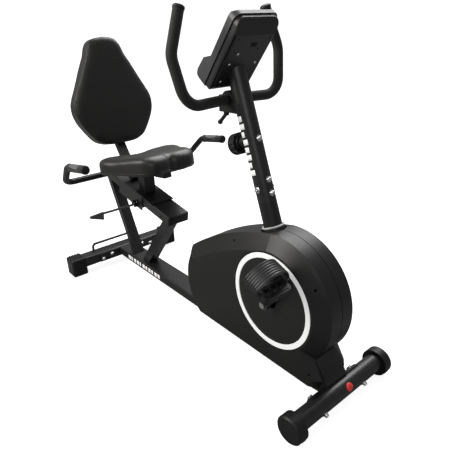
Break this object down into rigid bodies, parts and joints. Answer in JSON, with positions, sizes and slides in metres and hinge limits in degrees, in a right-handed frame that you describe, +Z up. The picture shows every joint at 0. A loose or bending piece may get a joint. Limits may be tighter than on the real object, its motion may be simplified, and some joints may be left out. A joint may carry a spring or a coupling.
{
  "type": "recumbent exercise bike",
  "caption": "Recumbent exercise bike with a sliding saddle seat, padded backrest, side grips, cased flywheel drive and a console on a leaning mast.",
  "frame": {"origin": "on the floor, at the middle of the footprint's length and width", "axes": "+X forward, from the seat to the crank; +Y to the rider's left; +Z up"},
  "size_m": [1.479, 0.696, 1.1741],
  "materials": {
    "frame_black": "satin",
    "plastic_black": "satin",
    "cover_black": "satin",
    "ring_white": "satin",
    "bolt_silver": "polished",
    "screw_black": "satin",
    "steel": "satin",
    "iron": "matte",
    "crank_black": "gloss",
    "belt_rubber": "matte",
    "tyre_rubber": "matte",
    "foam": "matte",
    "strap": "satin",
    "vinyl": "satin",
    "shell": "matte",
    "chrome_plate": "polished",
    "console_grey": "satin",
    "console_black": "satin",
    "lens": "polished",
    "button_grey": "satin",
    "lever_grey": "satin"
  },
  "bodies": {
    "frame": {"main_rail": "frame_black", "rear_stabilizer": "frame_black", "rear_caps": "plastic_black", "rear_lift_handle": "frame_black", "front_stabilizer": "frame_black", "front_caps": "plastic_black", "front_neck": "frame_black", "frame_bolts": "bolt_silver", "seat_tube": "frame_black", "seat_strut": "frame_black", "slide_rail": "frame_black", "post_stub": "frame_black", "front_post": "frame_black", "post_collar": "plastic_black", "cover_left": "cover_black", "cover_right": "cover_black", "cover_rings": "ring_white", "case_screws": "screw_black", "bearings": "steel", "drive_belt": "belt_rubber", "flywheel_axle": "steel", "flywheel_fork": "frame_black", "tension_cable": "belt_rubber", "clamp_base": "plastic_black", "clamp_cap": "plastic_black", "knob_housing": "plastic_black", "console_back": "console_black", "console_front": "console_grey", "console_lens": "lens"},
    "crank": {"crank_axle": "steel", "crank_right": "crank_black", "crank_left": "crank_black", "drive_pulley": "plastic_black", "pedal_spindles": "steel"},
    "pedal_r": {"pedal_right": "plastic_black", "strap_right": "strap"},
    "pedal_l": {"pedal_left": "plastic_black", "strap_left": "strap"},
    "flywheel": {"flywheel": "iron"},
    "magnet_arm": {"magnet_arm": "steel"},
    "handlebar": {"handlebar": "frame_black", "bar_foam": "foam"},
    "clamp_knob": {"clamp_knob": "plastic_black"},
    "tension_knob": {"tension_knob": "plastic_black"},
    "carriage": {"carriage": "frame_black", "seat_bolts": "bolt_silver", "seat_pan": "shell", "seat_cushion": "vinyl", "backrest_post": "frame_black", "backrest_shell": "shell", "backrest_cushion": "vinyl", "seat_handle": "frame_black", "seat_grips": "foam", "pulse_plates": "chrome_plate"},
    "slide_lever": {"slide_lever": "lever_grey"},
    "wheel_l": {"wheel_left": "tyre_rubber"},
    "wheel_r": {"wheel_right": "tyre_rubber"},
    "button_mode": {"button_mode": "button_grey"},
    "button_set": {"button_set": "button_grey"},
    "button_reset": {"button_reset": "button_grey"}
  },
  "joints": [
    {"name": "crank_spin", "type": "hinge", "parent": "frame", "child": "crank", "pos_m": [0.4677, 0, 0.31], "axis": [0, 1, 0], "continuous": true},
    {"name": "pedal_right_spin", "type": "hinge", "parent": "crank", "child": "pedal_r", "pos_m": [0.54967, -0.172, 0.44273], "axis": [0, 1, 0], "continuous": true},
    {"name": "pedal_left_spin", "type": "hinge", "parent": "crank", "child": "pedal_l", "pos_m": [0.38573, 0.172, 0.17727], "axis": [0, 1, 0], "continuous": true},
    {"name": "flywheel_spin", "type": "hinge", "parent": "frame", "child": "flywheel", "pos_m": [0.1197, 0, 0.205], "axis": [0, 1, 0], "continuous": true},
    {"name": "tension_turn", "type": "hinge", "parent": "frame", "child": "tension_knob", "pos_m": [0.31078, 0, 0.78991], "axis": [-0.9448, 0, -0.3277], "range_deg": [0, 300]},
    {"name": "magnet_swing", "type": "hinge", "parent": "frame", "child": "magnet_arm", "pos_m": [0.2067, 0, 0.278], "axis": [0, 1, 0], "range_deg": [0, 6]},
    {"name": "handlebar_tilt", "type": "hinge", "parent": "frame", "child": "handlebar", "pos_m": [0.2207, 0, 0.905], "axis": [0, 1, 0], "range_deg": [-15, 15]},
    {"name": "clamp_turn", "type": "hinge", "parent": "frame", "child": "clamp_knob", "pos_m": [0.1877, 0, 0.88], "axis": [0, 0, 1], "range_deg": [0, 180]},
    {"name": "carriage_slide", "type": "slide", "parent": "frame", "child": "carriage", "axis": [0.9816, 0, -0.1908], "range_m": [-0.145, 0.085]},
    {"name": "lever_lift", "type": "hinge", "parent": "carriage", "child": "slide_lever", "pos_m": [-0.39607, -0.064, 0.40012], "axis": [-0.9816, 0, 0.1908], "range_deg": [0, 18], "stiffness_Nm_per_rad": 1.5, "springref_deg": -11.46},
    {"name": "wheel_left_spin", "type": "hinge", "parent": "frame", "child": "wheel_l", "pos_m": [0.7127, 0.2095, 0.037], "axis": [0, 1, 0], "continuous": true},
    {"name": "wheel_right_spin", "type": "hinge", "parent": "frame", "child": "wheel_r", "pos_m": [0.7127, -0.2095, 0.037], "axis": [0, 1, 0], "continuous": true},
    {"name": "mode_press", "type": "slide", "parent": "frame", "child": "button_mode", "axis": [0.7771, 0, -0.6293], "range_m": [0, 0.003], "stiffness_N_per_m": 300, "springref_m": -0.001},
    {"name": "set_press", "type": "slide", "parent": "frame", "child": "button_set", "axis": [0.7771, 0, -0.6293], "range_m": [0, 0.003], "stiffness_N_per_m": 300, "springref_m": -0.001},
    {"name": "reset_press", "type": "slide", "parent": "frame", "child": "button_reset", "axis": [0.7771, 0, -0.6293], "range_m": [0, 0.003], "stiffness_N_per_m": 300, "springref_m": -0.001}
  ],
  "couplings": [
    {"joint": "flywheel_spin", "follows": "crank_spin", "ratio": 5.8673},
    {"joint": "magnet_swing", "follows": "tension_turn", "ratio": 0.02}
  ]
}
